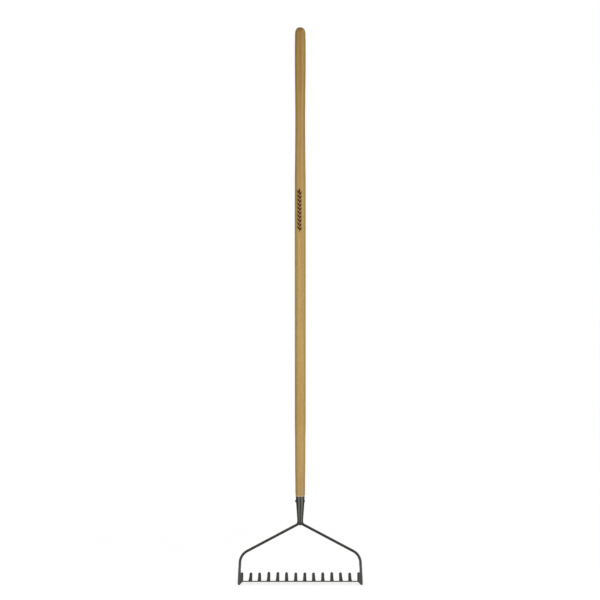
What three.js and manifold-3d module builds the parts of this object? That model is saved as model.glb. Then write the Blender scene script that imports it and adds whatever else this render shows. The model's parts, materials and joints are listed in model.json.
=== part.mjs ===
// Bow rake: an ash handle riveted into a tapered steel socket, two round steel arms welded into the socket's throat,
// and a flat bar with fourteen curved tines across the feet of the arms.
//
// Millimetres. +Z runs up the handle, +X along the bar and +Y the way the tines point. The origin is the middle of the
// bar's back edge. The handle and the bow stand upright in one plane just behind that edge, and the bar and its tines
// are drawn flat in a frame of their own, which is then tilted as one.

import * as THREE from "three";
import { mergeVertices } from "three/addons/utils/BufferGeometryUtils.js";
import Module from "manifold-3d";

const wasm = await Module();
wasm.setup();

// ---- Driving dimensions ----

const GAP = 0.3; // clearance between pieces that touch
const DEG = Math.PI / 180;

// Tine bar
const TINE_COUNT = 14;
const TINE_PITCH = 25.4;
const BAR_LENGTH = 340;
const BAR_DEPTH = 12;
const BAR_THICK = 3;
const BAR_TILT = -10 * DEG; // the front edge hangs a little lower than the back edge
const SEAT_START = 161.6; // where the back edge steps in to seat each arm's flat foot
const SEAT_DEPTH = 0.8;

// Tine, measured from the bar's front edge
const TINE_LENGTH = 57; // along its underside
const TINE_SWEEP = 52 * DEG; // turn from the bar's plane to the tip
const TINE_ROOT_WIDTH = 10.2;
const TINE_TIP_WIDTH = 7.5;
const TINE_ROOT_THICK = 4.4;
const TINE_TIP_THICK = 3;
const TENON_WIDTH = 5;
const TENON_LENGTH = 5.7;

// Bow arm
const ROD_DIAMETER = 6.7;
const TANG_OFFSET = 3.45; // from the handle's axis to the axis of each tang
const TANG_TOP = 190;
const BOW_APEX = 163.3; // where the two sloping runs would meet on the handle's axis
const BOW_SLOPE = 27.9 * DEG;
const THROAT_BEND = 10;
const CORNER_BEND = 38;
const LEG_TOP = [167.6, 60]; // a point on the leg's axis, x and z
const LEG_FOOT = [169.2, 22]; // where the round rod ends and the flat foot takes over
const FOOT_THICK = 4.4;

// Socket
const SOCKET_FOOT = 168;
const SOCKET_RIM = 238.2;
const THROAT_BORE = 7.1; // radius of the straight bore that holds the two tangs
const THROAT_BORE_TOP = 178;
const RIM_BORE = 10.95;

// Handle
const HANDLE_FOOT = 193.4;
const HANDLE_TOP = 1543.4;
const DOME_START = 1519.5;
const DOME_RADIUS = 14.7;

// Rivet
const RIVET_HEIGHT = 224;
const RIVET_SHANK = 2.1;
const RIVET_SEAT = 12.15; // from the handle's axis to the underside of each head

const FOOT_FACE_Y = SEAT_DEPTH - GAP; // the foot's front face, against the seat in the bar
const BOW_PLANE_Y = FOOT_FACE_Y - FOOT_THICK / 2;

// ---- Materials ----

function ashWood() {
  return new THREE.MeshStandardMaterial({ color: 0xc09d63, roughness: 0.55, metalness: 0 });
}

function greySteel() {
  return new THREE.MeshStandardMaterial({ color: 0x41443f, roughness: 0.45, metalness: 0.6 });
}

function rivetSteel() {
  return new THREE.MeshStandardMaterial({ color: 0x3a3c38, roughness: 0.4, metalness: 0.7 });
}

function weldSteel() {
  return new THREE.MeshStandardMaterial({ color: 0x373a36, roughness: 0.6, metalness: 0.6 });
}

// ---- Solids ----

// A closed geometry as a manifold solid, for cutting and joining.
function solid(geometry) {
  const bare = geometry.clone();
  bare.deleteAttribute("normal");
  bare.deleteAttribute("uv");
  const merged = mergeVertices(bare, 1e-3);
  const mesh = new wasm.Mesh({
    numProp: 3,
    vertProperties: merged.attributes.position.array,
    triVerts: new Uint32Array(merged.index.array),
  });
  return new wasm.Manifold(mesh);
}

function geometryOf(body) {
  const mesh = body.getMesh();
  const geometry = new THREE.BufferGeometry();
  geometry.setAttribute("position", new THREE.BufferAttribute(mesh.vertProperties, 3));
  geometry.setIndex(new THREE.BufferAttribute(mesh.triVerts, 1));
  geometry.computeVertexNormals();
  return geometry;
}

// A profile of [radius, height] points turned about the Z axis.
function turned(profile, segments) {
  const points = profile.map(([radius, height]) => new THREE.Vector2(radius, height));
  return new THREE.LatheGeometry(points, segments).rotateX(Math.PI / 2);
}

// A solid cylinder along X through the handle's axis, at the rivet's height.
function crossPin(radius) {
  const pin = new THREE.CylinderGeometry(radius, radius, 60, 16);
  pin.rotateZ(Math.PI / 2);
  return pin.translate(0, 0, RIVET_HEIGHT);
}

// An outline in the YZ plane, extruded to the given width and centred on X = 0.
function sideways(shape, width) {
  const geometry = new THREE.ExtrudeGeometry(shape, { depth: width, bevelEnabled: false, curveSegments: 8 });
  const toYz = new THREE.Matrix4().makeBasis(
    new THREE.Vector3(0, 1, 0),
    new THREE.Vector3(0, 0, 1),
    new THREE.Vector3(1, 0, 0),
  );
  return geometry.applyMatrix4(toYz).translate(-width / 2, 0, 0);
}

// An outline in the XZ plane, extruded to the given thickness and centred on Y = 0.
function upright(shape, thickness) {
  const geometry = new THREE.ExtrudeGeometry(shape, { depth: thickness, bevelEnabled: false, curveSegments: 6 });
  return geometry.rotateX(Math.PI / 2).translate(0, thickness / 2, 0);
}

function namedMesh(name, geometry, material) {
  const mesh = new THREE.Mesh(geometry, material);
  mesh.name = name;
  return mesh;
}

// ---- Handle ----

// Diameters at the heights where the turned shaft changes, from just above the shoulder to the start of the dome.
function shaftCurve() {
  const stations = [
    [244, 26.7],
    [282, 27.6],
    [338, 28.9],
    [394, 29.3],
    [450, 30.5],
    [951, 30.6],
    [1118, 30.2],
    [1190, 28.6],
    [1285, 27.6],
    [1341, 28.3],
    [1397, 29.5],
    [1453, 30.4],
    [1492, 30.3],
    [DOME_START, 2 * DOME_RADIUS],
  ];
  return stations.map(([height, diameter]) => [diameter / 2, height]);
}

// The top is a superellipse of the third power: full shoulders and a nearly flat crown.
function domeCurve() {
  const rings = 7;
  const height = HANDLE_TOP - DOME_START;
  const points = [];
  for (let i = 1; i <= rings; i++) {
    const rise = Math.sin((i / rings) * 90 * DEG);
    const radius = i === rings ? 0 : DOME_RADIUS * Math.cbrt(1 - rise ** 3);
    points.push([radius, DOME_START + height * rise]);
  }
  return points;
}

function handle() {
  const spigotTop = SOCKET_RIM + GAP;
  const boreSlope = (RIM_BORE - THROAT_BORE) / (SOCKET_RIM - THROAT_BORE_TOP);
  const spigotRadius = (height) => THROAT_BORE + (height - THROAT_BORE_TOP) * boreSlope - GAP;
  const profile = [
    [0, HANDLE_FOOT],
    [spigotRadius(HANDLE_FOOT) - 0.8, HANDLE_FOOT],
    [spigotRadius(HANDLE_FOOT + 1), HANDLE_FOOT + 1],
    [spigotRadius(spigotTop), spigotTop],
    [12.3, spigotTop],
    [13.1, spigotTop + 1.4],
    ...shaftCurve(),
    ...domeCurve(),
  ];
  const wood = solid(turned(profile, 32));
  const drilled = wood.subtract(solid(crossPin(RIVET_SHANK + GAP)));
  return namedMesh("handle", geometryOf(drilled), ashWood());
}

// ---- Socket and rivet ----

function socket() {
  const rolledRim = 0.35;
  const profile = [
    [THROAT_BORE, SOCKET_FOOT],
    [8.3, SOCKET_FOOT],
    [8.25, SOCKET_FOOT + 3],
    [8.6, 177],
    [9.7, 193],
    [10.9, 210],
    [11.9, 225],
    [12.3, 234],
    [12.4, SOCKET_RIM - rolledRim],
    [12.4 - rolledRim, SOCKET_RIM],
    [RIM_BORE, SOCKET_RIM],
    [THROAT_BORE, THROAT_BORE_TOP],
    [THROAT_BORE, SOCKET_FOOT],
  ];
  const tube = solid(turned(profile, 32));
  const drilled = tube.subtract(solid(crossPin(RIVET_SHANK + GAP)));
  return namedMesh("socket", geometryOf(drilled), greySteel());
}

// A low dome of the given radius and rise, as [radius, distance past the seat] points from rim to crown.
function rivetDome(radius, rise) {
  const steps = 4;
  const points = [];
  for (let i = 0; i <= steps; i++) {
    const angle = (i / steps) * 90 * DEG;
    points.push([i === steps ? 0 : radius * Math.cos(angle), rise * Math.sin(angle)]);
  }
  return points;
}

function rivet() {
  const head = rivetDome(3.75, 2.2).map(([radius, past]) => [radius, -RIVET_SEAT - past]);
  const peened = rivetDome(3.2, 0.9).map(([radius, past]) => [radius, RIVET_SEAT + past]);
  const shank = [
    [RIVET_SHANK, -RIVET_SEAT],
    [RIVET_SHANK, RIVET_SEAT],
  ];
  const geometry = turned([...head.reverse(), ...shank, ...peened], 20);
  geometry.rotateY(Math.PI / 2).translate(0, 0, RIVET_HEIGHT);
  return namedMesh("socket_rivet", geometry, rivetSteel());
}

// ---- Bow ----

// A path of straight runs through the given corners, each corner rounded to its own radius.
function roundedPath(corners, radii) {
  const path = new THREE.CurvePath();
  let from = corners[0];
  radii.forEach((radius, i) => {
    const corner = corners[i + 1];
    const back = corners[i].clone().sub(corner).normalize();
    const ahead = corners[i + 2].clone().sub(corner).normalize();
    const half = back.angleTo(ahead) / 2;
    const start = corner.clone().addScaledVector(back, radius / Math.tan(half));
    const towards = back.clone().add(ahead).normalize();
    const centre = corner.clone().addScaledVector(towards, radius / Math.sin(half));
    path.add(new THREE.LineCurve3(from, start));
    from = addArc(path, centre, start, corner, Math.PI - 2 * half);
  });
  path.add(new THREE.LineCurve3(from, corners[corners.length - 1]));
  return path;
}

// Adds an arc about centre from start, turning by the given angle towards the corner, and returns its far end.
function addArc(path, centre, start, corner, turn) {
  const pieces = 6;
  const arm = start.clone().sub(centre);
  const axis = arm.clone().cross(corner.clone().sub(centre)).normalize();
  let from = start;
  for (let i = 1; i <= pieces; i++) {
    const to = arm.clone().applyAxisAngle(axis, (turn * i) / pieces).add(centre);
    path.add(new THREE.LineCurve3(from, to));
    from = to;
  }
  return from;
}

// The arm's axis on one side: down the throat, out along the slope, round the corner and down the leg.
function armPath(side) {
  const point = (x, z) => new THREE.Vector3(side * x, 0, z);
  const [topX, topZ] = LEG_TOP;
  const [footX, footZ] = LEG_FOOT;
  const slope = Math.tan(BOW_SLOPE);
  const lean = (footX - topX) / (topZ - footZ);
  const cornerX = (topX + lean * (topZ - BOW_APEX)) / (1 - lean * slope);
  const corners = [
    point(TANG_OFFSET, TANG_TOP),
    point(TANG_OFFSET, BOW_APEX - TANG_OFFSET * slope),
    point(cornerX, BOW_APEX - cornerX * slope),
    point(footX, footZ),
  ];
  return roundedPath(corners, [THROAT_BEND, CORNER_BEND]);
}

function rodAlong(path, diameter) {
  const section = new THREE.Shape();
  section.absarc(0, 0, diameter / 2, 0, 2 * Math.PI, false);
  return new THREE.ExtrudeGeometry(section, { steps: 72, curveSegments: 7, extrudePath: path });
}

// The arm's foot, forged flat: it widens downwards behind the bar's end, and its tip is cut off at a slant below it.
function footOutline(side) {
  const outline = new THREE.Shape();
  outline.moveTo(side * 166.2, 34);
  outline.lineTo(side * 164.6, 18);
  outline.lineTo(side * 163.4, 2);
  outline.lineTo(side * 162.2, -1.8);
  outline.lineTo(side * 168.6, -8.6);
  outline.quadraticCurveTo(side * 170.6, -10.4, side * 172.8, -8.8);
  outline.quadraticCurveTo(side * 174.3, -7.4, side * 174.2, -5);
  outline.lineTo(side * 173.8, 4);
  outline.lineTo(side * 172.2, 34);
  outline.closePath();
  return outline;
}

function bowArm(name, side) {
  const rod = solid(rodAlong(armPath(side), ROD_DIAMETER));
  const foot = solid(upright(footOutline(side), FOOT_THICK));
  return namedMesh(name, geometryOf(rod.add(foot)), greySteel());
}

// The weld that fills the throat's mouth around both arms and the crotch between them.
function socketWeld() {
  const profile = [
    [0, 156.8],
    [4.2, 156.7],
    [6.4, 157.5],
    [8.8, 159.3],
    [10.4, 161.5],
    [9, 163.7],
    [8.35, 165.9],
    [8.3, SOCKET_FOOT - GAP],
    [0, SOCKET_FOOT - GAP],
  ];
  const collar = turned(profile, 24).scale(1, 0.88, 1);
  const clearance = ROD_DIAMETER + 2 * GAP;
  const bead = solid(collar)
    .subtract(solid(rodAlong(armPath(-1), clearance)))
    .subtract(solid(rodAlong(armPath(1), clearance)));
  return namedMesh("socket_weld", geometryOf(bead), weldSteel());
}

// ---- Tine bar and tines, drawn flat: X along the bar, Y away from its back edge, Z through its thickness ----

function tineX(index) {
  return (index - (TINE_COUNT - 1) / 2) * TINE_PITCH;
}

function tineBar() {
  const notchDepth = TENON_LENGTH + GAP;
  const notchHalf = TENON_WIDTH / 2 + GAP;
  const outline = new THREE.Shape();
  outline.moveTo(-BAR_LENGTH / 2, SEAT_DEPTH);
  outline.lineTo(-SEAT_START, SEAT_DEPTH);
  outline.lineTo(-SEAT_START, 0);
  outline.lineTo(SEAT_START, 0);
  outline.lineTo(SEAT_START, SEAT_DEPTH);
  outline.lineTo(BAR_LENGTH / 2, SEAT_DEPTH);
  outline.lineTo(BAR_LENGTH / 2, BAR_DEPTH);
  for (let i = TINE_COUNT - 1; i >= 0; i--) {
    outline.lineTo(tineX(i) + notchHalf, BAR_DEPTH);
    outline.lineTo(tineX(i) + notchHalf, BAR_DEPTH - notchDepth);
    outline.lineTo(tineX(i) - notchHalf, BAR_DEPTH - notchDepth);
    outline.lineTo(tineX(i) - notchHalf, BAR_DEPTH);
  }
  outline.lineTo(-BAR_LENGTH / 2, BAR_DEPTH);
  outline.closePath();
  const geometry = new THREE.ExtrudeGeometry(outline, { depth: BAR_THICK, bevelEnabled: false });
  geometry.translate(0, 0, -BAR_THICK / 2);
  return namedMesh("tine_bar", geometry, greySteel());
}

// The tine from the side: a tenon as thick as the bar, then an arc that leaves the bar's plane and tapers to the tip.
function tineSide() {
  const steps = 12;
  const radius = TINE_LENGTH / TINE_SWEEP;
  const floor = -BAR_THICK / 2;
  const root = BAR_DEPTH + GAP;
  const below = [];
  const above = [];
  for (let i = 0; i <= steps; i++) {
    const along = i / steps;
    const angle = TINE_SWEEP * along;
    const thick = THREE.MathUtils.lerp(TINE_ROOT_THICK, TINE_TIP_THICK, along);
    const under = new THREE.Vector2(root + radius * Math.sin(angle), floor + radius * (1 - Math.cos(angle)));
    below.push(under);
    above.push(new THREE.Vector2(-Math.sin(angle), Math.cos(angle)).multiplyScalar(thick).add(under));
  }
  const tenonBack = BAR_DEPTH - TENON_LENGTH;
  return new THREE.Shape([
    new THREE.Vector2(tenonBack, floor),
    ...below,
    ...above.reverse(),
    new THREE.Vector2(root, BAR_THICK / 2),
    new THREE.Vector2(tenonBack, BAR_THICK / 2),
  ]);
}

// The tine from above: a narrow tenon, square shoulders against the bar, a slow taper and a round end.
function tinePlan() {
  const reach = BAR_DEPTH + GAP + (TINE_LENGTH / TINE_SWEEP) * Math.sin(TINE_SWEEP);
  const tipHalf = TINE_TIP_WIDTH / 2;
  const rootHalf = TINE_ROOT_WIDTH / 2;
  const shoulder = BAR_DEPTH + GAP;
  const outline = new THREE.Shape();
  outline.moveTo(-TENON_WIDTH / 2, 0);
  outline.lineTo(TENON_WIDTH / 2, 0);
  outline.lineTo(TENON_WIDTH / 2, shoulder);
  outline.lineTo(rootHalf, shoulder);
  outline.lineTo(tipHalf, reach - tipHalf);
  outline.absarc(0, reach - tipHalf, tipHalf, 0, Math.PI, false);
  outline.lineTo(-rootHalf, shoulder);
  outline.lineTo(-TENON_WIDTH / 2, shoulder);
  outline.closePath();
  return outline;
}

function tineGeometry() {
  const side = solid(sideways(tineSide(), TINE_ROOT_WIDTH));
  const height = 60;
  const plan = new THREE.ExtrudeGeometry(tinePlan(), { depth: height, bevelEnabled: false, curveSegments: 6 });
  return geometryOf(side.intersect(solid(plan.translate(0, 0, -height / 2))));
}

function tines() {
  const shape = tineGeometry();
  const made = [];
  for (let i = 0; i < TINE_COUNT; i++) {
    const tine = namedMesh("tine_" + String(i + 1).padStart(2, "0"), shape, greySteel());
    tine.position.x = tineX(i);
    made.push(tine);
  }
  return made;
}

// The bead that wraps one end of the bar where it meets the arm's flat foot.
function barWeld(name, side) {
  const inner = BAR_THICK / 2 + GAP;
  const outer = inner + 2;
  const start = 162.5;
  const end = BAR_LENGTH / 2 + GAP;
  const cap = end + 2;
  const outline = new THREE.Shape();
  outline.moveTo(side * start, inner);
  outline.lineTo(side * end, inner);
  outline.lineTo(side * end, -inner);
  outline.lineTo(side * start, -inner);
  outline.lineTo(side * (start + 0.8), -outer);
  outline.lineTo(side * (cap - 1.2), -outer);
  outline.lineTo(side * cap, -outer + 1.4);
  outline.lineTo(side * cap, outer - 1.4);
  outline.lineTo(side * (cap - 1.2), outer);
  outline.lineTo(side * (start + 0.8), outer);
  outline.closePath();
  const thickness = 2.4;
  const clearance = GAP + outer * Math.tan(-BAR_TILT); // the foot stands upright while the bead is tilted
  const bead = upright(outline, thickness).translate(0, FOOT_FACE_Y + clearance + thickness / 2, 0);
  return namedMesh(name, bead, weldSteel());
}

// ---- Assembly ----

const stem = new THREE.Group();
stem.add(handle(), socket(), rivet(), socketWeld());
stem.add(bowArm("bow_arm_left", -1), bowArm("bow_arm_right", 1));
stem.position.y = BOW_PLANE_Y;

const comb = new THREE.Group();
comb.add(tineBar(), barWeld("bar_weld_left", -1), barWeld("bar_weld_right", 1), ...tines());
comb.rotation.x = BAR_TILT;

const bowRake = new THREE.Group();
bowRake.add(stem, comb);

export default bowRake;
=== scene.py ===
import json
import math

import bmesh
import bpy
import numpy as np
from mathutils import Matrix, Vector


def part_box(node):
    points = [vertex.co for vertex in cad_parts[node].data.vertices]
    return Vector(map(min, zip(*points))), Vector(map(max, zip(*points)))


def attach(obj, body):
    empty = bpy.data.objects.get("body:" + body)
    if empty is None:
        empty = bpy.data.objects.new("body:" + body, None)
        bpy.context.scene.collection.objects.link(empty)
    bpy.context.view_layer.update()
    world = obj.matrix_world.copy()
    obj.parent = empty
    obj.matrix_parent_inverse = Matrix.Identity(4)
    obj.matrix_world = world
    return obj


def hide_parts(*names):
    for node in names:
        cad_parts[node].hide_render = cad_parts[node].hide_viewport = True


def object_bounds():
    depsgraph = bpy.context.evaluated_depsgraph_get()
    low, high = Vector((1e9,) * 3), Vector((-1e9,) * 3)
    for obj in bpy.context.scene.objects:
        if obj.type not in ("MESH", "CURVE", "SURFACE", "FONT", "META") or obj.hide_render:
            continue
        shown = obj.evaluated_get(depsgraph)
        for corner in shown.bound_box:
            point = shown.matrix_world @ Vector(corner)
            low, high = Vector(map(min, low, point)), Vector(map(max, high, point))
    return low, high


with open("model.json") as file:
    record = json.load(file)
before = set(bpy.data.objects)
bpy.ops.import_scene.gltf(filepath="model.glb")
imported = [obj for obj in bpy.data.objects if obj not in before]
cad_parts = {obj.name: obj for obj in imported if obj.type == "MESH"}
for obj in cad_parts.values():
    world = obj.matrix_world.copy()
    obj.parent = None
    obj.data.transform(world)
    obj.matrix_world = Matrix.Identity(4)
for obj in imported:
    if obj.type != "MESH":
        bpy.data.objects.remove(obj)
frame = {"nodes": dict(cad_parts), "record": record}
cad_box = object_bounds()

MM = 0.001
TAU = 2 * math.pi

# ---- Places read from the frame ----

handle_low, handle_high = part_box("handle")
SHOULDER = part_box("socket")[1].z
AXIS_Y = (handle_low.y + handle_high.y) / 2
BAR_NORMAL = next(m["axis"] for m in frame["record"]["mounts"] if m["name"] == "bar_back")
BAR_TILT = math.atan2(BAR_NORMAL[2], -BAR_NORMAL[1])
TINE_COUNT = sum(name.startswith("tine_") and name != "tine_bar" for name in frame["nodes"])

# ---- Sizes of the finer shapes, the same as the frame's where they meet it ----

COAT = 0.3 * MM  # how much the thick dipped coating adds to each face of the bare steel
ROD_RADIUS = 3.35 * MM + COAT
TANG_OFFSET = 3.45 * MM  # from the handle's axis to each tang's own
BOW_APEX = 163.3 * MM  # the height where the two sloping runs would cross
BOW_SLOPE = math.radians(27.9)
THROAT_BEND = 10 * MM
CORNER_BEND = 38 * MM
LEG_TOP = (167.6 * MM, 60 * MM)  # two points, across and up, that the leg's line goes through
LEG_FOOT = (169.2 * MM, 22 * MM)
FOOT_TOP = 44 * MM  # the round rod ends and the forged foot starts
FOOT_FLATTEN = 26 * MM  # how far down the rod takes to become flat
FOOT_HALF_THICK = 2.2 * MM + COAT

BAR_DEPTH = 12 * MM
BAR_HALF_THICK = 1.5 * MM
TINE_LENGTH = 57 * MM
TINE_SWEEP = math.radians(52)
TINE_ROOT_HALF = 5.1 * MM + COAT
TINE_TIP_HALF = 3.75 * MM + COAT
TINE_ROOT_THICK = 4.4 * MM + 2 * COAT
TINE_TIP_THICK = 3 * MM + 2 * COAT
TENON_HALF = 2.5 * MM  # half the width, as for the tines
TENON_LENGTH = 5.7 * MM
GAP = 0.3 * MM  # between a tenon and its notch, and between a tine's shoulder and the bar

FINE_VOXEL = 0.22 * MM  # the grain of the remesh that runs the small weld beads together

# How far each tine's tip stands above or below the row, as bent tines do.
TIP_LIFT_MM = (0, -0.5, -0.5, 2.0, 1.4, 0.7, -0.5, -0.3, -0.6, 0, 1.0, 0.3, -0.8, 0.4)

MARK_BOTTOM = 973 * MM
MARK_LENGTH = 122 * MM
MARK_TURN = math.radians(-9)  # how far round the handle from its front the mark sits


# ---- Meshes ----


def placed_mesh(name, mesh, smooth_angle):
    """An object in the scene for a mesh, smooth-shaded with its sharp edges kept."""
    mesh.polygons.foreach_set("use_smooth", [True] * len(mesh.polygons))
    mesh.set_sharp_from_angle(angle=math.radians(smooth_angle))
    piece = bpy.data.objects.new(name, mesh)
    bpy.context.scene.collection.objects.link(piece)
    return piece


def add_object(name, vertices, faces, smooth_angle=35):
    """An object from vertices and faces, with its faces turned outwards."""
    mesh = bpy.data.meshes.new(name)
    mesh.from_pydata([tuple(v) for v in vertices], [], faces)
    mesh.validate()
    made = bmesh.new()
    made.from_mesh(mesh)
    bmesh.ops.recalc_face_normals(made, faces=made.faces)
    made.to_mesh(mesh)
    made.free()
    return placed_mesh(name, mesh, smooth_angle)


def loft(rings, closed=False):
    """Vertices and faces of a skin through equal rings: capped at both ends, or closed on itself."""
    rings = np.asarray(rings, float)
    count, width = rings.shape[:2]
    vertices = list(rings.reshape(-1, 3))
    faces = []
    for i in range(count if closed else count - 1):
        a, b = i * width, (i + 1) % count * width
        for j in range(width):
            k = (j + 1) % width
            faces.append((a + j, a + k, b + k, b + j))
    if not closed:
        for ring, start in ((0, 0), (count - 1, (count - 1) * width)):
            middle = len(vertices)
            vertices.append(rings[ring].mean(axis=0))
            faces += [(start + j, start + (j + 1) % width, middle) for j in range(width)]
    return vertices, faces


def joined(parts):
    """Several (vertices, faces) pairs as one."""
    vertices, faces = [], []
    for some_vertices, some_faces in parts:
        offset = len(vertices)
        vertices += list(some_vertices)
        faces += [tuple(index + offset for index in face) for face in some_faces]
    return vertices, faces


def superellipse(half_width, half_height, power, points=28):
    """Points of a rounded box section, as an array of [across, up] rows. Power 2 is an ellipse."""
    angle = np.arange(points) / points * TAU
    cosine, sine = np.cos(angle), np.sin(angle)
    across = np.sign(cosine) * np.abs(cosine) ** (2 / power) * half_width
    up = np.sign(sine) * np.abs(sine) ** (2 / power) * half_height
    return np.stack([across, up], axis=1)


def hermite(at, xs, ys):
    """A smooth curve through the points (xs, ys) that never swings past them, read at the given places."""
    at, xs, ys = (np.asarray(values, float) for values in (at, xs, ys))
    rises = np.diff(ys) / np.diff(xs)
    product = rises[:-1] * rises[1:]
    slopes = np.zeros(len(xs))
    slopes[0], slopes[-1] = rises[0], rises[-1]
    slopes[1:-1] = np.where(product > 0, 2 * product / np.where(product > 0, rises[:-1] + rises[1:], 1), 0)
    i = np.clip(np.searchsorted(xs, at) - 1, 0, len(xs) - 2)
    step = xs[i + 1] - xs[i]
    t = (at - xs[i]) / step
    return (
        (1 + 2 * t) * (1 - t) ** 2 * ys[i]
        + t * (1 - t) ** 2 * step * slopes[i]
        + t**2 * (3 - 2 * t) * ys[i + 1]
        + t**2 * (t - 1) * step * slopes[i + 1]
    )


def blend(low, high, t):
    """A smooth change from low to high as t goes from 0 to 1."""
    t = min(max(t, 0), 1)
    return low + (high - low) * t * t * (3 - 2 * t)


def cad_rings(node, fewest=150):
    """The heights and the outer and inner radii of a turned CAD node, one row for each of its full rings."""
    found = {}
    for vertex in frame["nodes"][node].data.vertices:
        radius = math.hypot(vertex.co.x, vertex.co.y - AXIS_Y)
        found.setdefault(round(vertex.co.z, 5), []).append(radius)
    rows = [(z, max(radii), min(radii)) for z, radii in sorted(found.items()) if len(radii) >= fewest]
    return np.array(rows)


def turned_ring(angle, radius, height):
    """Points round the handle's axis, from angle 0 in front. The radius may change with the angle."""
    x, y = radius * np.sin(angle), AXIS_Y - radius * np.cos(angle)
    return np.stack([x, y, np.full(len(angle), height)], axis=1)


def finish_piece(piece, material, slot, *nodes):
    """Gives a piece its material and body, and hides the CAD nodes it stands for. The slot is not used."""
    piece.data.materials.append(material)
    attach(piece, "root")
    if nodes:
        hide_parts(*nodes)


# ---- Material nodes ----


class Nodes:
    """A material's node tree, with one short call to add and link a node."""

    def __init__(self, name):
        self.material = bpy.data.materials.new(name)
        self.material.use_nodes = True
        self.tree = self.material.node_tree
        self.shader = self.tree.nodes["Principled BSDF"]

    def add(self, kind, inputs=None, output=0, **settings):
        """Adds a node of a kind, feeds its inputs, and gives one of its outputs."""
        made = self.tree.nodes.new("ShaderNode" + kind)
        for key, value in settings.items():
            setattr(made, key, value)
        for key, value in (inputs or {}).items():
            self.feed(made.inputs[key], value)
        return made.outputs[output]

    def feed(self, socket, value):
        """Links a socket to another one, or sets it to a number or a colour."""
        if isinstance(value, bpy.types.NodeSocket):
            self.tree.links.new(value, socket)
        else:
            socket.default_value = value

    def place(self, scale=(1, 1, 1), shift=(0, 0, 0)):
        """The piece's own coordinates, in metres, moved and stretched."""
        where = self.add("TexCoord", output="Object")
        return self.add("Mapping", {"Vector": where, "Location": shift, "Scale": scale})

    def noise(self, where, scale, detail=3, roughness=0.5):
        inputs = {"Vector": where, "Scale": scale, "Detail": detail, "Roughness": roughness}
        return self.add("TexNoise", inputs, output="Fac")

    def math(self, operation, first, second=0.0):
        return self.add("Math", {0: first, 1: second}, operation=operation)

    def remap(self, value, low, high, to_low=0.0, to_high=1.0):
        inputs = {"Value": value, "From Min": low, "From Max": high, "To Min": to_low, "To Max": to_high}
        return self.add("MapRange", inputs, output="Result")

    def ramp(self, value, stops):
        """A colour ramp through (position, colour) stops."""
        made = self.tree.nodes.new("ShaderNodeValToRGB")
        elements = made.color_ramp.elements
        while len(elements) < len(stops):
            elements.new(0.5)
        for element, (position, colour) in zip(elements, stops):
            element.position = position
            element.color = (*colour, 1)
        self.feed(made.inputs["Fac"], value)
        return made.outputs["Color"]

    def mix(self, factor, first, second, kind="MIX"):
        """Two colours mixed, as sockets or as colours."""
        made = self.tree.nodes.new("ShaderNodeMix")
        made.data_type = "RGBA"
        made.blend_type = kind
        made.clamp_result = False
        for key, value in (("Factor", factor), ("A", first), ("B", second)):
            sockets = [s for s in made.inputs if s.name == key and s.enabled]
            value = (*value, 1) if isinstance(value, tuple) else value
            self.feed(sockets[0], value)
        return next(s for s in made.outputs if s.enabled)

    def bump(self, height, strength, distance, under=None):
        """A bump from a height, on top of the bump under it if there is one."""
        inputs = {"Height": height, "Strength": strength, "Distance": distance}
        if under is not None:
            inputs["Normal"] = under
        return self.add("Bump", inputs)


def srgb(red, green, blue):
    """A screen colour, 0 to 255, as the linear numbers that shaders use."""

    def linear(level):
        level /= 255
        return level / 12.92 if level <= 0.04045 else ((level + 0.055) / 1.055) ** 2.4

    return linear(red), linear(green), linear(blue)


# ---- Materials ----


def swing(n, field, reach):
    """A noise field as a shift to either side, half a reach at most."""
    return n.math("MULTIPLY", n.math("SUBTRACT", field, 0.5), reach)


def wood_tone(n, along):
    """The wood's mean colour, from the foot of the handle, at 0, to its top, at 1."""
    return n.ramp(along, [
        (0.00, srgb(151, 126, 70)),
        (0.10, srgb(172, 141, 72)),
        (0.20, srgb(168, 136, 62)),
        (0.32, srgb(173, 144, 71)),
        (0.60, srgb(173, 142, 70)),
        (0.70, srgb(162, 130, 62)),
        (0.78, srgb(153, 119, 50)),
        (0.86, srgb(153, 125, 35)),
        (0.94, srgb(150, 123, 27)),
        (1.00, srgb(142, 118, 30)),
    ])


def growth_rings(n):
    """Growth rings drawn out along the grain: each rises from 0, its early wood, to 1, its late wood."""
    drift = n.noise(n.place((6, 6, 1.3)), 1.0, 2)
    wander = n.add("CombineXYZ", {"X": swing(n, drift, 0.014)})
    beside_pith = n.place((1, 1, 0.02), (0.031, 0.022, 0))
    where = n.add("VectorMath", {0: beside_pith, 1: wander}, operation="ADD")
    return n.add(
        "TexWave",
        {"Vector": where, "Scale": 95.0, "Distortion": 1.2, "Detail": 2.0, "Detail Scale": 1.5},
        output="Fac", wave_type="RINGS", rings_direction="Z", wave_profile="SAW",
    )


def grain_streak(n, middle, spread, low, high, fade, shift):
    """How strongly a soft streak shows: middle and spread are across the front, low and high are heights."""
    where = n.add("TexCoord", output="Object")
    across = n.add("SeparateXYZ", {"Vector": where}, output="X")
    height = n.add("SeparateXYZ", {"Vector": where}, output="Z")
    sway = swing(n, n.noise(n.place((8, 8, 6), shift), 1.0, 2), 5 * MM)
    off = n.math("DIVIDE", n.math("SUBTRACT", n.math("ADD", across, sway), middle), spread)
    bell = n.math("EXPONENT", n.math("MULTIPLY", n.math("MULTIPLY", off, off), -1.0))
    start = n.remap(height, low, low + fade)
    end = n.remap(height, high, high + fade, 1.0, 0.0)
    return n.math("MULTIPLY", bell, n.math("MULTIPLY", start, end))


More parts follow.
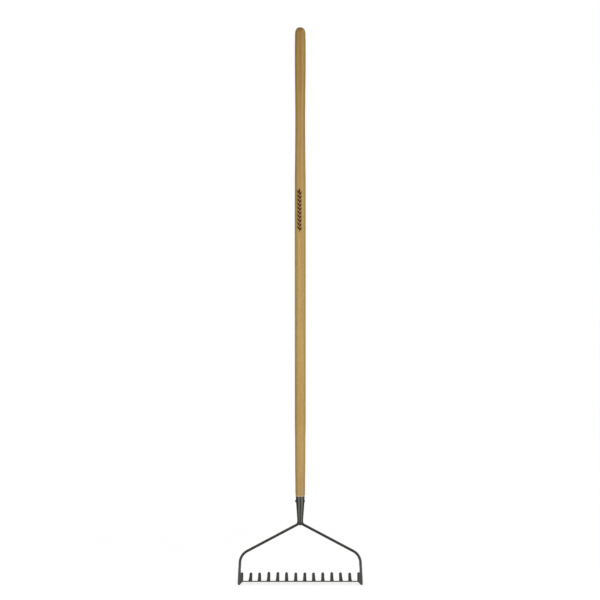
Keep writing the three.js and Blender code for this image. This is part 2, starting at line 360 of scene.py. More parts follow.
def ash_wood():
    """Oiled ash: rings that show as long streaks, dark open pores, and a top end that is browner."""
    n = Nodes("ash_wood")
    height = n.add("SeparateXYZ", {"Vector": n.add("TexCoord", output="Object")}, output="Z")
    along = n.remap(height, handle_low.z, handle_high.z)
    rings = growth_rings(n)
    late = n.ramp(rings, [
        (0.0, (0.0, 0.0, 0.0)),
        (0.45, (0.55, 0.55, 0.55)),
        (0.9, (1, 1, 1)),
        (1.0, (0.1, 0.1, 0.1)),
    ])
    ringed = n.mix(0.20, wood_tone(n, along), n.mix(late, srgb(152, 114, 58), srgb(218, 190, 124)))

    # Soft streaks of a few millimetres, then the fine grain: fibres, short flecks and open pores.
    streaks = n.noise(n.place((260, 260, 3.2)), 1.0, 4, 0.6)
    darker = n.mix(1.0, ringed, srgb(196, 160, 124), "MULTIPLY")
    streaked = n.mix(n.remap(streaks, 0.30, 0.72, 0.0, 0.42), ringed, darker)
    fibres = n.noise(n.place((1300, 1300, 16)), 1.0, 5, 0.62)
    pore_field = n.noise(n.place((2300, 2300, 70), (3.1, 1.7, 0)), 1.0, 2, 0.5)
    fleck_field = n.noise(n.place((3400, 3400, 190), (5.3, 2.9, 1)), 1.0, 2, 0.5)
    early = n.remap(rings, 0.0, 0.5, 1.0, 0.22)
    pores = n.math("MULTIPLY", n.remap(pore_field, 0.58, 0.70), early)
    flecks = n.math("MULTIPLY", n.remap(fleck_field, 0.57, 0.66), early)
    fibred = n.mix(n.remap(fibres, 0.38, 0.68, 0.0, 0.30), streaked, srgb(146, 108, 58))
    flecked = n.mix(n.math("MULTIPLY", flecks, 0.40), fibred, srgb(120, 84, 44))
    grained = n.mix(n.math("MULTIPLY", pores, 0.70), flecked, srgb(104, 70, 36))

    # The top end is browner, with a reddish heart streak. Below it a brown streak lies on the right.
    browning = n.noise(n.place((90, 90, 7), (7, 2, 1)), 1.0, 3, 0.6)
    upper = n.remap(along, 0.80, 0.97)
    brown = n.math("MULTIPLY", n.remap(browning, 0.47, 0.62), n.math("MULTIPLY", upper, 0.20))
    browned = n.mix(brown, grained, srgb(120, 80, 40))
    heart = grain_streak(n, -0.2 * MM, 6.0 * MM, 1.27, 2.0, 0.12, (4, 9, 2))
    hearted = n.mix(n.math("MULTIPLY", heart, 0.52), browned, srgb(134, 78, 30))
    side = grain_streak(n, 4.6 * MM, 2.4 * MM, 0.66, 0.95, 0.08, (1, 3, 8))
    sided = n.mix(n.math("MULTIPLY", side, 0.42), hearted, srgb(128, 92, 52))

    # The cut chamfer at the shoulder is bare, paler wood.
    bare = n.math("MULTIPLY", n.remap(height, SHOULDER + 2.6 * MM, SHOULDER + 1.6 * MM), 0.45)
    n.feed(n.shader.inputs["Base Color"], n.mix(bare, sided, srgb(216, 200, 164)))

    oiled = n.remap(streaks, 0.2, 0.8, 0.44, 0.56)
    n.feed(n.shader.inputs["Roughness"], n.math("ADD", oiled, n.math("MULTIPLY", pores, 0.2)))
    n.shader.inputs["Coat Weight"].default_value = 0.12
    n.shader.inputs["Coat Roughness"].default_value = 0.3
    n.shader.inputs["Sheen Weight"].default_value = 0.3
    n.shader.inputs["Sheen Roughness"].default_value = 0.35
    n.shader.inputs["Sheen Tint"].default_value = (0.70, 1.0, 1.0, 1)
    relief = n.math("SUBTRACT", n.math("MULTIPLY", fibres, 0.35), pores)
    n.feed(n.shader.inputs["Normal"], n.bump(relief, 0.35, 0.25 * MM))
    return n.material


def burned_wood():
    """The scorched surface of the mark: dark brown and dull, with a paler speckle of grain."""
    n = Nodes("burned_wood")
    grain = n.noise(n.place((1400, 1400, 60)), 1.0, 3, 0.6)
    scorched = n.mix(n.remap(grain, 0.35, 0.75), srgb(44, 26, 9), srgb(76, 49, 20))
    n.feed(n.shader.inputs["Base Color"], scorched)
    n.shader.inputs["Specular IOR Level"].default_value = 0.15
    n.feed(n.shader.inputs["Roughness"], n.remap(grain, 0.3, 0.7, 0.62, 0.78))
    n.feed(n.shader.inputs["Normal"], n.bump(grain, 0.3, 0.1 * MM))
    return n.material


def coated_steel(name, dark, light, roughness, lumps, shine, painted_light_tone=None):
    """Grey coating over steel: a fine pebble, slow changes of tone, paler edges that are a painted
    highlight, and, where a lighter tone is given, painted light on the lower head.
    """
    n = Nodes(name)
    where = n.place()
    cloud = n.noise(where, 38.0, 4, 0.6)
    pebble = n.noise(where, 900.0, 3, 0.55)
    dapple = n.noise(where, 210.0, 3, 0.6)
    base = n.mix(n.remap(cloud, 0.3, 0.7), dark, light)
    mottled = n.mix(n.remap(dapple, 0.4, 0.75, 0.0, 0.35), base, tuple(1.35 * level for level in light))
    if painted_light_tone:
        # The working end, from the feet of the arms down, is painted paler: painted light on the feet, bar
        # and tines.
        height = n.add("SeparateXYZ", {"Vector": n.add("TexCoord", output="Object")}, output="Z")
        patchy = n.remap(cloud, 0.35, 0.65, -0.15, 0.0)
        painted_light_reach = n.math("ADD", n.remap(height, 62 * MM, 34 * MM), patchy)
        painted_light_mottle = n.mix(n.remap(dapple, 0.35, 0.65), painted_light_tone, tuple(0.82 * level for level in painted_light_tone))
        mottled = n.mix(n.remap(painted_light_reach, 0.0, 1.0), mottled, painted_light_mottle)
    # The sharp edges are painted paler: a painted highlight along them.
    point = n.add("NewGeometry", output="Pointiness")
    edge = n.math("MULTIPLY", n.remap(point, 0.53, 0.60), n.remap(dapple, 0.35, 0.6))
    edge_highlighted = n.mix(n.math("MULTIPLY", edge, 0.4), mottled, srgb(112, 113, 106))
    n.feed(n.shader.inputs["Base Color"], edge_highlighted)
    n.feed(n.shader.inputs["Roughness"], n.remap(dapple, 0.25, 0.75, roughness - 0.06, roughness + 0.08))
    n.shader.inputs["Metallic"].default_value = 0.0
    n.shader.inputs["Specular IOR Level"].default_value = shine
    fine = n.bump(pebble, 0.45, 0.14 * MM)
    n.feed(n.shader.inputs["Normal"], n.bump(dapple, lumps, 0.3 * MM, fine))
    return n.material


# ---- Handle ----

DOME_START = 1519.5 * MM
DOME_POWER = 3  # the rounded end is a superellipse of this power
HANDLE_ROWS = cad_rings("handle")
SHAFT_ROWS = HANDLE_ROWS[(HANDLE_ROWS[:, 0] > SHOULDER) & (HANDLE_ROWS[:, 0] < DOME_START + MM)]


def shaft_radius(heights):
    """The shaft's radius above its shoulder: a smooth curve through the frame's own rings."""
    return hermite(heights, SHAFT_ROWS[:, 0], SHAFT_ROWS[:, 1])


def handle_stations():
    """Heights and radii up the handle: the spigot, the eased chamfer, the shaft and the rounded end."""
    ease, step, dome_turns = 0.15 * MM, 6 * MM, 26
    stations = [(z, r) for z, r, _ in HANDLE_ROWS if z < SHOULDER]
    (low, low_radius), (high, high_radius) = SHAFT_ROWS[0, :2], SHAFT_ROWS[1, :2]
    stations += [(low, low_radius - ease), (low + ease, low_radius)]
    stations += [(high - 0.2 * MM, high_radius - 0.12 * MM)]
    heights = np.append(np.arange(high, DOME_START, step), DOME_START)
    stations += list(zip(heights, shaft_radius(heights)))
    for turn in np.linspace(0, math.pi / 2, dome_turns)[1:-1]:
        rise, inward = math.sin(turn) ** (2 / DOME_POWER), math.cos(turn) ** (2 / DOME_POWER)
        stations.append((DOME_START + (handle_high.z - DOME_START) * rise, SHAFT_ROWS[-1, 1] * inward))
    return stations


def make_handle(material):
    """The turned shaft, out of round by a hair, and less so where it is thin."""
    points, wobble, full_radius = 72, 0.09 * MM, 10 * MM
    angle = np.arange(points) / points * TAU
    rings = []
    for height, radius in handle_stations():
        uneven = wobble * (np.sin(2 * angle + 3 * height) * 0.6 + np.sin(3 * angle - 7 * height + 1) * 0.4)
        rings.append(turned_ring(angle, radius + uneven * min(radius / full_radius, 1), height))
    piece = add_object("handle_shaft", *loft(rings), smooth_angle=28)
    finish_piece(piece, material, "ash_wood", "handle")


def on_handle(height, across, lift):
    """A point on the handle's front: across is round its girth, and lift is above its surface."""
    radius = float(shaft_radius(height))
    turn = MARK_TURN + across / radius
    x, y = (radius + lift) * math.sin(turn), AXIS_Y - (radius + lift) * math.cos(turn)
    return x, y, height


def mark_strip(line):
    """A thin strip on the handle's surface along (height, across, half width) rows."""
    proud, sunk = 0.14 * MM, -0.3 * MM
    section = [(-1, sunk), *((share, proud) for share in (-1, -0.5, 0, 0.5, 1)), (1, sunk)]
    rings = []
    for i, (height, across, half) in enumerate(line):
        after, before = line[min(i + 1, len(line) - 1)], line[max(i - 1, 0)]
        rise, over = after[0] - before[0], after[1] - before[1]
        length = math.hypot(rise, over)
        side_z, side_x = -over / length * half, rise / length * half
        rings.append([on_handle(height + s * side_z, across + s * side_x, lift) for s, lift in section])
    return loft(rings)


def make_mark(material):
    """A plain sprig burned into the handle's front: a stem, pairs of leaves and one leaf at the end."""
    pairs, leaf_length, leaf_half = 10, 12.5 * MM, 2.5 * MM
    spread = math.radians(38)
    leaf_steps, stem_steps = 12, 40
    stem_half, stem_share = 0.8 * MM, 0.93

    def leaf(height, across, direction):
        """One leaf, which bends back towards the stem's own direction and is pointed at both ends."""
        line = []
        for k in range(leaf_steps + 1):
            t = k / leaf_steps
            reach = leaf_length * t
            bend = direction * (1 - 0.35 * t)
            half = leaf_half * max(math.sin(math.pi * t**0.8) ** 0.9, 0.04)
            line.append((height + reach * math.cos(bend), across + reach * math.sin(bend), half))
        return mark_strip(line)

    stem = []
    for k in range(stem_steps + 1):
        height = MARK_BOTTOM + MARK_LENGTH * stem_share * k / stem_steps
        stem.append((height, 0, stem_half * (1 - 0.4 * k / stem_steps)))
    parts = [mark_strip(stem)]
    pitch = (MARK_LENGTH - leaf_length) / pairs
    for i in range(pairs):
        foot = MARK_BOTTOM + (i + 0.35) * pitch
        parts.append(leaf(foot, 0.2 * MM, spread))
        parts.append(leaf(foot + pitch * 0.3, -0.2 * MM, -spread))
    parts.append(leaf(MARK_BOTTOM + MARK_LENGTH - leaf_length, 0, 0.0))
    finish_piece(add_object("burned_sprig", *joined(parts)), material, "ash_wood")


# ---- Socket, rivet and weld ----


def make_socket(material):
    """The tapered tube: a rounded rim, a ground-down seam weld behind, and the ripple of drawn steel."""
    rim_round, rim_steps, throat = 0.5 * MM, 4, 10 * MM
    seam_height, seam_spread, ripple = 0.32 * MM, 0.10, 0.05 * MM
    rows = cad_rings("socket")
    low, high = rows[0, 0], rows[-1, 0]
    bore, mouth = rows[0, 2], rows[-1, 2]
    outline = rows[rows[:, 1] > bore + 0.1 * MM][:-1]
    outside = np.linspace(low, high - rim_round, 90)
    outer = hermite(outside, outline[:, 0], outline[:, 1])
    stations = [(low, bore)] + list(zip(outside, outer))
    for k in range(1, rim_steps + 1):
        turn = k / rim_steps * math.pi / 2
        rise, inward = rim_round * (1 - math.sin(turn)), rim_round * (1 - math.cos(turn))
        stations.append((high - rise, outer[-1] - inward))
    stations += [(high, mouth + 0.3 * MM), (high - 0.4 * MM, mouth), (low + throat, bore)]

    points = 120
    angle = np.arange(points) / points * TAU
    rings = []
    for height, radius in stations:
        inner = np.interp(height, [low, low + throat, high], [bore, bore, mouth])
        if radius > inner + 0.6 * MM:
            bead = np.exp(-(((angle - math.pi) / seam_spread) ** 2))
            seam = seam_height * bead * (1 + 0.25 * math.sin(height * 2600))
            radius = radius + (seam + ripple * np.sin(5 * angle + height * 60))
        rings.append(turned_ring(angle, radius, height))
    finish_piece(add_object("socket_tube", *loft(rings, closed=True)), material, "grey_steel", "socket")


def make_rivet(material):
    """The cross rivet: a domed head with a thin flange on the left, and a hammered end on the right."""
    low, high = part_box("socket_rivet")
    height = (low.z + high.z) / 2
    seat = 12.15 * MM  # from the axis to the socket's skin
    head, shank, peen = 3.75 * MM, 2.1 * MM, 3.2 * MM
    stations = []
    for turn in np.linspace(1.5, 0.12, 10):
        stations.append((low.x + (-seat - low.x) * (1 - math.sin(turn)), head * math.cos(turn)))
    stations += [(-seat + 0.1 * MM, head), (-seat + 0.25 * MM, head - 0.1 * MM), (-seat + 0.5 * MM, shank)]
    stations += [(seat - 0.5 * MM, shank), (seat - 0.2 * MM, peen)]
    for turn in np.linspace(0.1, 1.5, 8):
        stations.append((high.x - (high.x - seat) * (1 - math.sin(turn)), peen * math.cos(turn) ** 0.7))

    points = 40
    angle = np.arange(points) / points * TAU
    rings = []
    for x, radius in stations:
        dent = 1 + (0.05 * np.sin(3 * angle + 1) if x > 0 else 0)
        y, z = AXIS_Y + radius * dent * np.cos(angle), height + radius * dent * np.sin(angle)
        rings.append(np.stack([np.full(points, x), y, z], axis=1))
    piece = add_object("socket_rivet_fine", *loft(rings))
    finish_piece(piece, material, "rivet_steel", "socket_rivet")


def weld_body(name, drops, voxel=0.28 * MM, passes=3):
    """Weld metal: overlapping drops, each a (centre, radii) pair, run together into one closed skin."""
    made = bmesh.new()
    for centre, radii in drops:
        place = Matrix.Translation(Vector(centre)) @ Matrix.Diagonal((*radii, 1))
        bmesh.ops.create_icosphere(made, subdivisions=3, radius=1, matrix=place)
    rough = bpy.data.meshes.new(name + "_drops")
    made.to_mesh(rough)
    made.free()
    piece = bpy.data.objects.new(name, rough)
    bpy.context.scene.collection.objects.link(piece)
    remesh = piece.modifiers.new("run_together", "REMESH")
    remesh.mode, remesh.voxel_size = "VOXEL", voxel
    smooth = piece.modifiers.new("flow", "SMOOTH")
    smooth.factor, smooth.iterations = 0.5, passes
    skin = bpy.data.meshes.new_from_object(piece.evaluated_get(bpy.context.evaluated_depsgraph_get()))
    piece.modifiers.clear()
    piece.data = skin
    bpy.data.meshes.remove(rough)
    skin.name = name
    skin.polygons.foreach_set("use_smooth", [True] * len(skin.polygons))
    return piece


def drops_along(line, radius, pitch, seed=0.0):
    """Drops a pitch apart along points, a little uneven in size and place, as a hand-run bead is."""
    uneven_size, uneven_place = 0.16, 0.12
    line = [Vector(point) for point in line]
    lengths = np.concatenate([[0], np.cumsum([(b - a).length for a, b in zip(line, line[1:])])])
    count = max(int(lengths[-1] / pitch), 2)
    drops = []
    for k in range(count + 1):
        at = lengths[-1] * k / count
        i = min(int(np.searchsorted(lengths, at, side="right")) - 1, len(line) - 2)
        share = (at - lengths[i]) / max(lengths[i + 1] - lengths[i], 1e-9)
        # A fixed scatter from -0.5 to 0.5: the decimals of a fast wave.
        wave = math.sin(12.9898 * (k + seed) + 4.1) * 43.7585
        uneven = wave - math.floor(wave) - 0.5
        size = radius * (1 + uneven_size * uneven)
        drift = Vector((0, 0, uneven_place * radius * uneven))
        drops.append((line[i].lerp(line[i + 1], share) + drift, (size, size, size)))
    return drops


def make_socket_weld(material):
    """The weld at the socket's mouth: a filled crotch under both arms and three runs round the rim."""
    low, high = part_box("socket_weld")
    turns = np.linspace(0, TAU, 73)

    def ring(radius, height, flat, start):
        """A circle round the mouth that rises and dips a little, as a hand-run bead does."""
        line = []
        for turn in turns:
            x, y = radius * math.sin(turn + start), AXIS_Y - flat * radius * math.cos(turn + start)
            slow, quick = 0.35 * MM * math.sin(2 * turn + 3 * start), 0.2 * MM * math.sin(5 * turn)
            line.append((x, y, height + slow + quick))
        return line

    drops = drops_along(ring(6.5 * MM, high.z - 0.9 * MM, 0.98, 0.0), 1.8 * MM, 1.25 * MM)
    drops += drops_along(ring(6.8 * MM, high.z - 3.0 * MM, 0.94, 0.9), 2.2 * MM, 1.5 * MM, 11)
    drops += drops_along(ring(7.3 * MM, high.z - 5.2 * MM, 0.86, 0.4), 2.6 * MM, 1.7 * MM, 7)
    # The filler in the crotch: one wide drop, one below it, and one under each arm.
    drops.append(((0, AXIS_Y, high.z - 4.5 * MM), (7.4 * MM, 6.4 * MM, 4.4 * MM)))
    drops.append(((0, AXIS_Y, low.z + 3.4 * MM), (6.4 * MM, 5.2 * MM, 3.4 * MM)))
    for side in (-1, 1):
        drops.append(((side * 6.6 * MM, AXIS_Y, low.z + 4.6 * MM), (3.6 * MM, 5.0 * MM, 3.6 * MM)))
    piece = weld_body("socket_weld_bead", drops, passes=8)
    finish_piece(piece, material, "weld_steel", "socket_weld")


# ---- Bow ----


def rounded_line(corners, radii, step):
    """Points about a step apart along straight runs in a plane whose corners are rounded."""
    points = [Vector(corners[0])]
    for i, radius in enumerate(radii):
        before, corner, after = (Vector(corners[i + k]) for k in range(3))
        back, ahead = (before - corner).normalized(), (after - corner).normalized()
        half = back.angle(ahead) / 2
        start, end = (corner + way * (radius / math.tan(half)) for way in (back, ahead))
        middle = corner + (back + ahead).normalized() * (radius / math.sin(half))
        arm, last_arm = start - middle, end - middle
        turn = math.copysign(math.pi - 2 * half, arm.cross(last_arm))
        pieces = max(int(radius * abs(turn) / step), 6)
        points += run(points[-1], start, step)
        for k in range(1, pieces + 1):
            angle = turn * k / pieces
            turned = Vector((
                arm.x * math.cos(angle) - arm.y * math.sin(angle),
                arm.x * math.sin(angle) + arm.y * math.cos(angle),
            ))
            points.append(middle + turned)
    return points + run(points[-1], Vector(corners[-1]), step)


def run(start, end, step):
    """Points from just after start to end, about a step apart."""
    count = max(int((end - start).length / step), 1)
    return [start.lerp(end, k / count) for k in range(1, count + 1)]


# The foot's outline from the front, in millimetres: height, the middle's distance from the axis, half width.
FOOT_OUTLINE_MM = (
    (-10.2, 170.9, 0.5), (-9.7, 170.75, 1.5), (-8.8, 170.65, 2.15), (-7.2, 170.35, 3.3),
    (-5.0, 169.7, 4.5), (-2.6, 168.6, 5.5), (-1.4, 168.3, 5.75), (1.0, 168.5, 5.4), (6.0, 168.65, 5.05),
    (14.0, 168.85, 4.5), (24.0, 169.1, 3.75), (34.0, 168.95, 3.4), (44.0, 168.3, 3.35),
)


def foot_section(height):
    """The middle, half width, half thickness and squareness of the arm's foot at a height."""
    thinned_from, thinned_over, thinned_by = -6 * MM, 4.2 * MM, 0.35
    heights, middles, halves = np.array(FOOT_OUTLINE_MM).T * MM
    middle, half = (float(np.interp(height, heights, values)) for values in (middles, halves))
    flat = min(max((FOOT_TOP - height) / FOOT_FLATTEN, 0), 1)
    thick = blend(ROD_RADIUS, FOOT_HALF_THICK, flat)
    if height < thinned_from:
        thick *= 1 - thinned_by * (thinned_from - height) / thinned_over
    return middle, half + COAT, thick, blend(2, 4.2, flat)


def arm_rings(side):
    """Sections down one arm: the round rod from tang to leg, then the foot, forged flat and cut aslant."""
    step, ripple = 2.2 * MM, 0.012
    low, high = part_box("bow_arm_left")
    slope = math.tan(BOW_SLOPE)
    lean = (LEG_FOOT[0] - LEG_TOP[0]) / (LEG_TOP[1] - LEG_FOOT[1])
    corner_x = (LEG_TOP[0] + lean * (LEG_TOP[1] - BOW_APEX)) / (1 - lean * slope)
    corners = [
        (TANG_OFFSET, high.z),
        (TANG_OFFSET, BOW_APEX - TANG_OFFSET * slope),
        (corner_x, BOW_APEX - corner_x * slope),
        (LEG_TOP[0] + lean * (LEG_TOP[1] - FOOT_TOP), FOOT_TOP),
    ]
    line = rounded_line(corners, [THROAT_BEND, CORNER_BEND], step)
    rings = []

    def add_ring(section, x, z):
        rings.append(np.stack([side * x, AXIS_Y + section[:, 1], z], axis=1))

    for i, point in enumerate(line):
        along = (line[min(i + 1, len(line) - 1)] - line[max(i - 1, 0)]).normalized()
        squeeze = 1 + ripple * math.sin(i * 0.9)
        section = superellipse(ROD_RADIUS * squeeze, ROD_RADIUS / squeeze, 2)
        add_ring(section, point.x + section[:, 0] * -along.y, point.y + section[:, 0] * along.x)
    for height in np.concatenate([np.arange(42, -8, -2) * MM, np.linspace(-8 * MM, low.z, 7)]):
        middle, half, thick, power = foot_section(height)
        section = superellipse(half, thick, power)
        add_ring(section, middle + section[:, 0], np.full(len(section), height))
    return rings


def make_arm(name, node, side, material):
    """One arm of the bow. Side is -1 for the left arm and 1 for the right."""
    piece = add_object(name, *loft(arm_rings(side)), smooth_angle=40)
    finish_piece(piece, material, "grey_steel", node)


# ---- Bar and tines, drawn flat and then tilted ----


def tilted(points):
    """Points of the flat drawing, placed. Its rows are [across, depth from the back edge, up]."""
    points = np.asarray(points, float)
    cosine, sine = math.cos(BAR_TILT), math.sin(BAR_TILT)
    y = points[..., 1] * cosine + points[..., 2] * sine
    z = -points[..., 1] * sine + points[..., 2] * cosine
    return np.stack([points[..., 0], y, z], axis=-1)


def tine_x(index):
    """Where a tine stands along the bar."""
    low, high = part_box(f"tine_{index + 1:02d}")
    return (low.x + high.x) / 2


def make_bar(material):
    """The flat strip, with a notch for each tenon and a seat for each arm's foot, its edges eased."""
    low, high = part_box("tine_bar")
    half_notch, notch = TENON_HALF + GAP, TENON_LENGTH + GAP
    seat_x, seat = 161.6 * MM, 0.8 * MM
    outline = [(low.x, seat), (-seat_x, seat), (-seat_x, 0), (seat_x, 0), (seat_x, seat), (high.x, seat)]
    outline.append((high.x, BAR_DEPTH))
    for i in reversed(range(TINE_COUNT)):
        x = tine_x(i)
        outline += [(x + half_notch, BAR_DEPTH), (x + half_notch, BAR_DEPTH - notch)]
        outline += [(x - half_notch, BAR_DEPTH - notch), (x - half_notch, BAR_DEPTH)]
    outline.append((low.x, BAR_DEPTH))
    made = bmesh.new()
    bottom = [made.verts.new((x, depth, -BAR_HALF_THICK)) for x, depth in outline]
    face = made.faces.new(bottom)
    # From here on Blender may store the faces in another order each run. The shape stays the same.
    top = bmesh.ops.extrude_face_region(made, geom=[face])["geom"]
    for vertex in (item for item in top if isinstance(item, bmesh.types.BMVert)):
        vertex.co.z = BAR_HALF_THICK
    bmesh.ops.recalc_face_normals(made, faces=made.faces)
    easing = 0.45 * MM
    bmesh.ops.bevel(made, geom=made.edges[:], offset=easing, segments=3, affect="EDGES", clamp_overlap=True)
    for vertex, place in zip(made.verts, tilted([vertex.co[:] for vertex in made.verts])):
        vertex.co = place
    bmesh.ops.triangulate(made, faces=[f for f in made.faces if len(f.verts) > 4])
    mesh = bpy.data.meshes.new("tine_bar_strip")
    made.to_mesh(mesh)
    made.free()
    finish_piece(placed_mesh("tine_bar_strip", mesh, 30), material, "grey_steel", "tine_bar")


def tine_rings(lift):
    """Sections of one tine about X = 0: a tenon, a square shoulder, a taper that curls up, a round tip."""
    sweep = TINE_SWEEP + lift / (0.5 * TINE_LENGTH)
    radius = TINE_LENGTH / sweep
    root = BAR_DEPTH + GAP
    rings = []

    def add_ring(depth, up, angle, half, thick, power):
        """A section whose lower face starts at (depth, up) and which leans back by an angle."""
        section = superellipse(half, thick / 2, power)
        out = section[:, 1] + thick / 2
        y, z = depth - out * math.sin(angle), up + out * math.cos(angle)
        rings.append(np.stack([section[:, 0], y, z], axis=1))

    for depth in (BAR_DEPTH - TENON_LENGTH, root):
        add_ring(depth, -BAR_HALF_THICK, 0, TENON_HALF, 2 * BAR_HALF_THICK, 9)
    tip_start = 1 - 1.25 * TINE_TIP_HALF / TINE_LENGTH
    tip_shares = tip_start + (1 - tip_start) * np.sin(np.linspace(0.1, 1, 9) * math.pi / 2)
    for share in [*np.linspace(0, tip_start, 30), *tip_shares]:
        angle = sweep * share
        half = TINE_ROOT_HALF + (TINE_TIP_HALF - TINE_ROOT_HALF) * share
        thick = TINE_ROOT_THICK + (TINE_TIP_THICK - TINE_ROOT_THICK) * share
        over = max((share - tip_start) / (1 - tip_start), 0)
        half *= math.sqrt(max(1 - over**2, 0.012))
        shaved = thick * (1 - 0.45 * over**2)
        rise = (thick - shaved) / 2
        depth = root + radius * math.sin(angle) - rise * math.sin(angle)
        up = -BAR_HALF_THICK - COAT + radius * (1 - math.cos(angle)) + rise * math.cos(angle)
        add_ring(depth, up, angle, half, shaved, 5.5 - 2.3 * share)
    return np.array(rings)


def make_tine(index, material):
    """One forged tine, lifted and turned aside a little by its own amount."""
    rings = tine_rings(TIP_LIFT_MM[index] * MM)
    share = (rings[..., 1:2] - BAR_DEPTH) / TINE_LENGTH
    aside = 0.9 * MM * math.sin(index * 2.1 + 0.4)
    rings[..., 0:1] += tine_x(index) + aside * np.clip(share, 0, 1) ** 2
    node = f"tine_{index + 1:02d}"
    piece = add_object(node + "_forged", *loft(tilted(rings)), smooth_angle=38)
    finish_piece(piece, material, "grey_steel", node)


def make_tine_welds(material):
    """The short beads across the upper side of each tine's root, where its shoulder meets the bar."""
    reach = TINE_ROOT_HALF - 0.9 * MM
    drops = []
    for i in range(TINE_COUNT):
        places = [(tine_x(i) + reach * t, BAR_DEPTH + 0.2 * MM, BAR_HALF_THICK) for t in (-1, 1)]
        drops += drops_along(tilted(places), 1.2 * MM, 1.05 * MM, i)
    finish_piece(weld_body("tine_root_welds", drops, FINE_VOXEL), material, "weld_steel")


def make_bar_weld(name, node, side, material):
    """The bead that wraps the bar's end where it meets the arm's foot."""
    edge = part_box("tine_bar")[1].x
    start, corner = 163.4 * MM, 1.6 * MM
    high = BAR_HALF_THICK + 0.3 * MM
    places = [(x, high) for x in np.linspace(start, edge - corner, 10)]
    for t in np.linspace(0, math.pi, 14)[1:-1]:
        places.append((edge - corner + (corner + 0.5 * MM) * math.sin(t), high * math.cos(t)))
    places += [(x, -high) for x in np.linspace(edge - corner, start, 10)]
    line = tilted([(side * x, 2.6 * MM, up) for x, up in places])
    drops = drops_along(line, 1.75 * MM, 1.35 * MM, 3 + side)
    finish_piece(weld_body(name, drops, FINE_VOXEL), material, "weld_steel", node)


# ---- Studio ----

VIEW_DISTANCE = 3.9
VIEW_HEIGHT = 784.35 * MM
VIEW_SIDE = -0.6 * MM


def make_camera():
    """A level camera straight in front of the rake, far off enough to see it with little perspective."""
    data = bpy.data.cameras.new("camera")
    data.lens = 84
    data.sensor_width = 36
    camera = bpy.data.objects.new("camera", data)
    camera.location = (VIEW_SIDE, AXIS_Y - VIEW_DISTANCE, VIEW_HEIGHT)
    camera.rotation_euler = (math.pi / 2, 0, 0)
    bpy.context.scene.collection.objects.link(camera)
    bpy.context.scene.camera = camera


def softbox(name, azimuth, distance, height, width, tall, power):
    """A soft light aimed at the rake's middle. Azimuth is in degrees round from the camera's side."""
    data = bpy.data.lights.new(name, "AREA")
    data.shape = "RECTANGLE"
    data.size, data.size_y = width, tall
    data.energy = power
    lamp = bpy.data.objects.new(name, data)
    turn = math.radians(azimuth)
    lamp.location = (distance * math.sin(turn), AXIS_Y - distance * math.cos(turn), height)
    aim = Vector((0, AXIS_Y, VIEW_HEIGHT)) - lamp.location
    lamp.rotation_euler = aim.to_track_quat("-Z", "Y").to_euler()
    lamp.visible_camera = False
    bpy.context.scene.collection.objects.link(lamp)
    return lamp


def fill_from_behind(floor):
    """A light for the views from behind. It isn't mirrored in the coating, and it leaves the floor alone."""
    lamp = softbox("softbox_behind", 176, 2.7, 0.7, 1.5, 3.8, 54)
    lamp.visible_glossy = False
    spared = bpy.data.collections.new("spared_by_softbox_behind")
    spared.objects.link(floor)
    spared.collection_objects[0].light_linking.link_state = "EXCLUDE"
    lamp.light_linking.receiver_collection = spared


def show_to_camera(tree, bright, dim, output):
    """Links output to the bright shader for camera rays and to the dim one for all others."""
    path = tree.nodes.new("ShaderNodeLightPath")
    mix = tree.nodes.new("ShaderNodeMixShader")
    tree.links.new(path.outputs["Is Camera Ray"], mix.inputs[0])
    tree.links.new(dim, mix.inputs[1])
    tree.links.new(mix.outputs[0], output)
    tree.links.new(bright, mix.inputs[2])


def make_world():
    """White to the camera and a dim grey to everything else, so that the softboxes light the rake."""
    world = bpy.data.worlds.new("studio")
    bpy.context.scene.world = world
    world.use_nodes = True
    tree = world.node_tree
    dim = tree.nodes["Background"]
    dim.inputs["Color"].default_value = (0.12, 0.12, 0.12, 1)
    white = tree.nodes.new("ShaderNodeBackground")
    white.inputs["Color"].default_value = (1, 1, 1, 1)
    output = tree.nodes["World Output"].inputs["Surface"]
    show_to_camera(tree, white.outputs[0], dim.outputs[0], output)


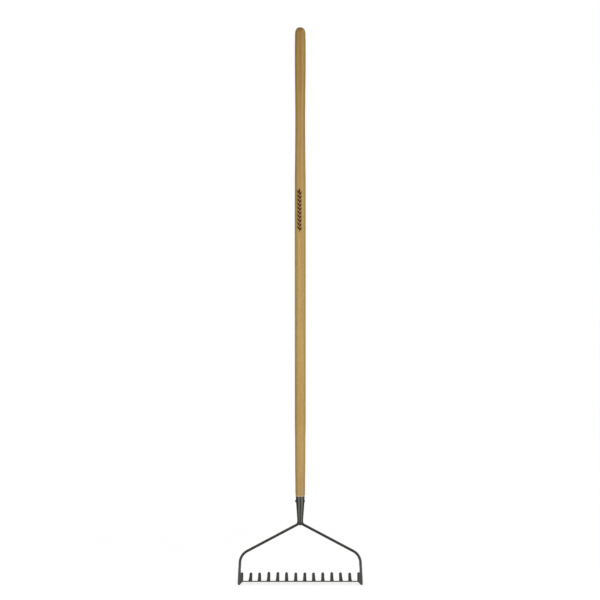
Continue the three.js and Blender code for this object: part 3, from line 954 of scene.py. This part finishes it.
def make_floor():
    """A plain pale floor that fades to white away from the rake."""
    reach, level = 60.0, cad_box[0].z - 0.5 * MM
    corners = [(x * reach, y * reach, level) for x, y in ((-1, -1), (1, -1), (1, 1), (-1, 1))]
    mesh = bpy.data.meshes.new("floor")
    mesh.from_pydata(corners, [], [(0, 1, 2, 3)])
    floor = bpy.data.objects.new("floor", mesh)
    bpy.context.scene.collection.objects.link(floor)
    n = Nodes("floor_paper")
    n.shader.inputs["Base Color"].default_value = (0.86, 0.86, 0.86, 1)
    n.shader.inputs["Roughness"].default_value = 0.9
    n.shader.inputs["Specular IOR Level"].default_value = 0.1

    # To the camera the paper glows just enough to be white, less near the rake, where it is lit.
    full_glow, lit_share, lit_reach = 0.97, 0.185, 2.6
    away = n.add("VectorMath", {0: n.add("TexCoord", output="Object")}, output="Value", operation="LENGTH")
    fall = n.math("POWER", n.math("DIVIDE", away, lit_reach), 3.0)
    lit = n.math("DIVIDE", lit_share, n.math("ADD", fall, 1.0))
    glow = n.tree.nodes.new("ShaderNodeEmission")
    n.feed(glow.inputs["Strength"], n.math("SUBTRACT", full_glow, lit))
    paper = n.tree.nodes.new("ShaderNodeBsdfDiffuse")
    paper.inputs["Color"].default_value = (0.35, 0.35, 0.35, 1)
    both = n.tree.nodes.new("ShaderNodeAddShader")
    n.tree.links.new(paper.outputs[0], both.inputs[0])
    n.tree.links.new(glow.outputs[0], both.inputs[1])
    output = n.tree.nodes["Material Output"].inputs["Surface"]
    show_to_camera(n.tree, both.outputs[0], n.shader.outputs[0], output)
    mesh.materials.append(n.material)
    floor.visible_glossy = False
    floor.visible_shadow = False
    return floor


# ---- The scene ----

make_camera()
make_world()
fill_from_behind(make_floor())
# Name, azimuth, distance and height, then the box's own width and height, and its power.
softbox("softbox_left", -38, 2.7, 0.55, 1.7, 4.1, 66)
softbox("softbox_right", 49, 2.7, 0.55, 1.9, 4.1, 79)
softbox("softbox_top", 4, 1.9, 3.1, 2.4, 1.6, 8)
softbox("softbox_back_left", -140, 2.4, 2.9, 1.6, 1.2, 20)
softbox("softbox_back_right", 140, 2.4, 2.9, 1.6, 1.2, 20)
bpy.context.scene.view_settings.view_transform = "Standard"

wood = ash_wood()
# The coatings differ a little: name, darker and lighter tone, roughness, lumps, shine, and the tone of the
# painted light on the lower head.
steel = coated_steel("grey_steel", srgb(39, 41, 36), srgb(47, 49, 43), 0.27, 0.12, 0.58)
# A paler tone painted on the head from the arms' feet down: painted light.
head_painted_light = srgb(70, 72, 67)
# The head's copy of the coating is darker than the socket's: painted shade for the dark that the slanted
# rods reflect.
head_steel_painted_shade_and_light = coated_steel("head_steel_painted_shade_and_light", srgb(36, 38, 33), srgb(44, 46, 40), 0.30, 0.25, 0.36, head_painted_light)
weld = coated_steel("weld_steel", srgb(35, 38, 33), srgb(43, 46, 40), 0.34, 0.40, 0.42)
rivet = coated_steel("rivet_steel", srgb(38, 40, 35), srgb(47, 49, 43), 0.26, 0.12, 0.5)

make_handle(wood)
make_mark(burned_wood())
make_socket(steel)
make_rivet(rivet)
make_socket_weld(weld)
make_arm("bow_arm_left_rod", "bow_arm_left", -1, head_steel_painted_shade_and_light)
make_arm("bow_arm_right_rod", "bow_arm_right", 1, head_steel_painted_shade_and_light)
make_bar(head_steel_painted_shade_and_light)
for number in range(TINE_COUNT):
    make_tine(number, head_steel_painted_shade_and_light)
make_tine_welds(weld)
make_bar_weld("bar_weld_left_bead", "bar_weld_left", -1, weld)
make_bar_weld("bar_weld_right_bead", "bar_weld_right", 1, weld)
